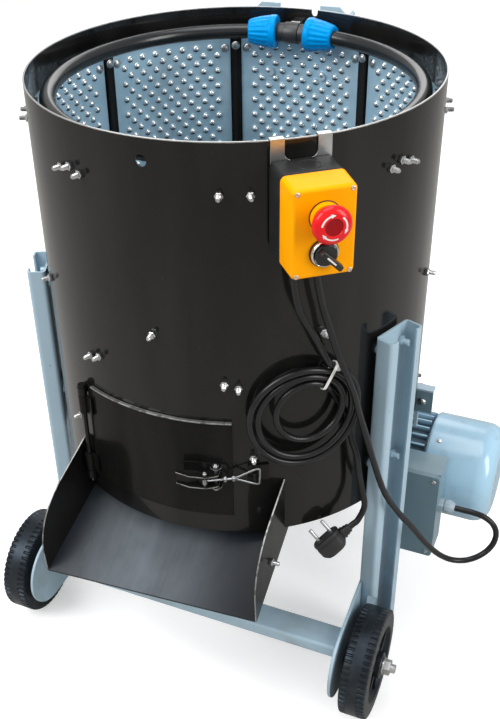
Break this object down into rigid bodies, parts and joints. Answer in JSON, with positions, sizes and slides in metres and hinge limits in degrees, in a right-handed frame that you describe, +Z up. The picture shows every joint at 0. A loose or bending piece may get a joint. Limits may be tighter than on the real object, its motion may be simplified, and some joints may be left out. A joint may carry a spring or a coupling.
{
  "type": "walnut peeling machine",
  "caption": "Upright lined drum on a wheeled frame with a geared motor below, a ribbed bottom disc, a spray ring under the rim, a latched side door over a chute, and a hung control box.",
  "frame": {"origin": "on the floor, under the middle of the machine's box without its cords", "axes": "+Z up, -Y to the chute and door side, +X to the motor's fan side"},
  "size_m": [0.6895, 0.6158, 0.818],
  "materials": {
    "black_paint": "satin black enamel",
    "liner_zinc": "dull galvanised sheet",
    "zinc": "zinc plated",
    "chrome": "polished",
    "frame_paint": "satin blue-grey enamel",
    "motor_paint": "gloss light blue-grey enamel",
    "steel": "machined",
    "bronze": "machined bronze",
    "rubber": "matt black",
    "black_plastic": "matt black",
    "pipe_plastic": "gloss black",
    "blue_plastic": "gloss blue",
    "yellow_plastic": "satin yellow",
    "red_plastic": "gloss red",
    "white_plastic": "white nylon"
  },
  "bodies": {
    "machine": {"drum_shell": "black_paint", "drum_base": "black_paint", "liner_panels": "liner_zinc", "liner_bars": "black_paint", "shell_bolts": "zinc", "water_ring": "pipe_plastic", "water_tee": "pipe_plastic", "tee_nuts": "blue_plastic", "water_inlet": "zinc", "chute": "black_paint", "hinge_lugs": "black_paint", "hinge_pin": "zinc", "latch_catch": "zinc", "box_bracket": "zinc", "box_base": "black_plastic", "box_lid": "yellow_plastic", "cover_screws": "zinc", "contact_blocks": "black_plastic", "cord_glands": "black_plastic", "button_collar": "yellow_plastic", "selector_bezel": "chrome", "upright_left": "frame_paint", "upright_right": "frame_paint", "wheel_plates": "frame_paint", "crossbar": "frame_paint", "rear_leg": "frame_paint", "rear_foot": "rubber", "frame_bolts": "zinc", "axle_bolts": "zinc", "gearbox_housing": "frame_paint", "gearbox_cover": "frame_paint", "shaft_bearings": "steel", "motor_housing": "motor_paint", "motor_stator": "steel", "fan_cover": "motor_paint", "terminal_box": "frame_paint", "terminal_lid": "frame_paint", "motor_gland": "motor_paint", "motor_stay": "frame_paint", "mains_lead_upper": "rubber", "mains_coil": "rubber", "mains_lead_tail": "rubber", "mains_plug": "black_plastic", "cable_tie": "white_plastic", "motor_lead": "rubber"},
    "drive": {"drive_shaft": "steel", "worm_wheel": "bronze", "rotor_disc": "steel"},
    "motor_shaft": {"worm_shaft": "steel", "motor_rotor": "steel", "cooling_fan": "black_plastic"},
    "left_wheel": {"wheel_left": "rubber"},
    "right_wheel": {"wheel_right": "rubber"},
    "door": {"door_panel": "black_paint", "latch_base": "black_paint"},
    "lever": {"latch_lever": "black_paint"},
    "bail": {"latch_bail": "zinc"},
    "plunger": {"button_plunger": "black_plastic"},
    "head": {"button_head": "red_plastic"},
    "selector": {"selector_knob": "black_plastic"}
  },
  "joints": [
    {"name": "rotor_spin", "type": "hinge", "parent": "machine", "child": "drive", "pos_m": [-0.03375, 0.01764, 0.219], "axis": [0, 0, 1], "continuous": true},
    {"name": "motor_spin", "type": "hinge", "parent": "machine", "child": "motor_shaft", "pos_m": [-0.03375, 0.10764, 0.219], "axis": [1, 0, 0], "continuous": true},
    {"name": "wheel_left_spin", "type": "hinge", "parent": "machine", "child": "left_wheel", "pos_m": [-0.29375, -0.17032, 0.075], "axis": [1, 0, 0], "continuous": true},
    {"name": "wheel_right_spin", "type": "hinge", "parent": "machine", "child": "right_wheel", "pos_m": [0.22625, -0.17032, 0.075], "axis": [1, 0, 0], "continuous": true},
    {"name": "door_swing", "type": "hinge", "parent": "machine", "child": "door", "pos_m": [-0.15265, -0.21076, 0.397], "axis": [0, 0, -1], "range_deg": [0, 80]},
    {"name": "lever_swing", "type": "hinge", "parent": "door", "child": "lever", "pos_m": [0.03861, -0.23352, 0.393], "axis": [0, 0, 1], "range_deg": [0, 95]},
    {"name": "bail_swing", "type": "hinge", "parent": "lever", "child": "bail", "pos_m": [0.02883, -0.2445, 0.393], "axis": [0, 0, 1], "range_deg": [-105, 0]},
    {"name": "button_push", "type": "slide", "parent": "machine", "child": "plunger", "axis": [-0.6157, 0.788, 0], "range_m": [0, 0.005], "stiffness_N_per_m": 800},
    {"name": "button_twist", "type": "hinge", "parent": "plunger", "child": "head", "pos_m": [0.17847, -0.25398, 0.7635], "axis": [0.6157, -0.788, 0], "range_deg": [-35, 0], "stiffness_Nm_per_rad": 0.3},
    {"name": "selector_turn", "type": "hinge", "parent": "machine", "child": "selector", "pos_m": [0.16985, -0.24295, 0.7245], "axis": [0.6157, -0.788, 0], "range_deg": [0, 90]}
  ],
  "couplings": [
    {"joint": "motor_spin", "follows": "rotor_spin", "ratio": 20},
    {"joint": "bail_swing", "follows": "lever_swing", "ratio": -1.1}
  ]
}
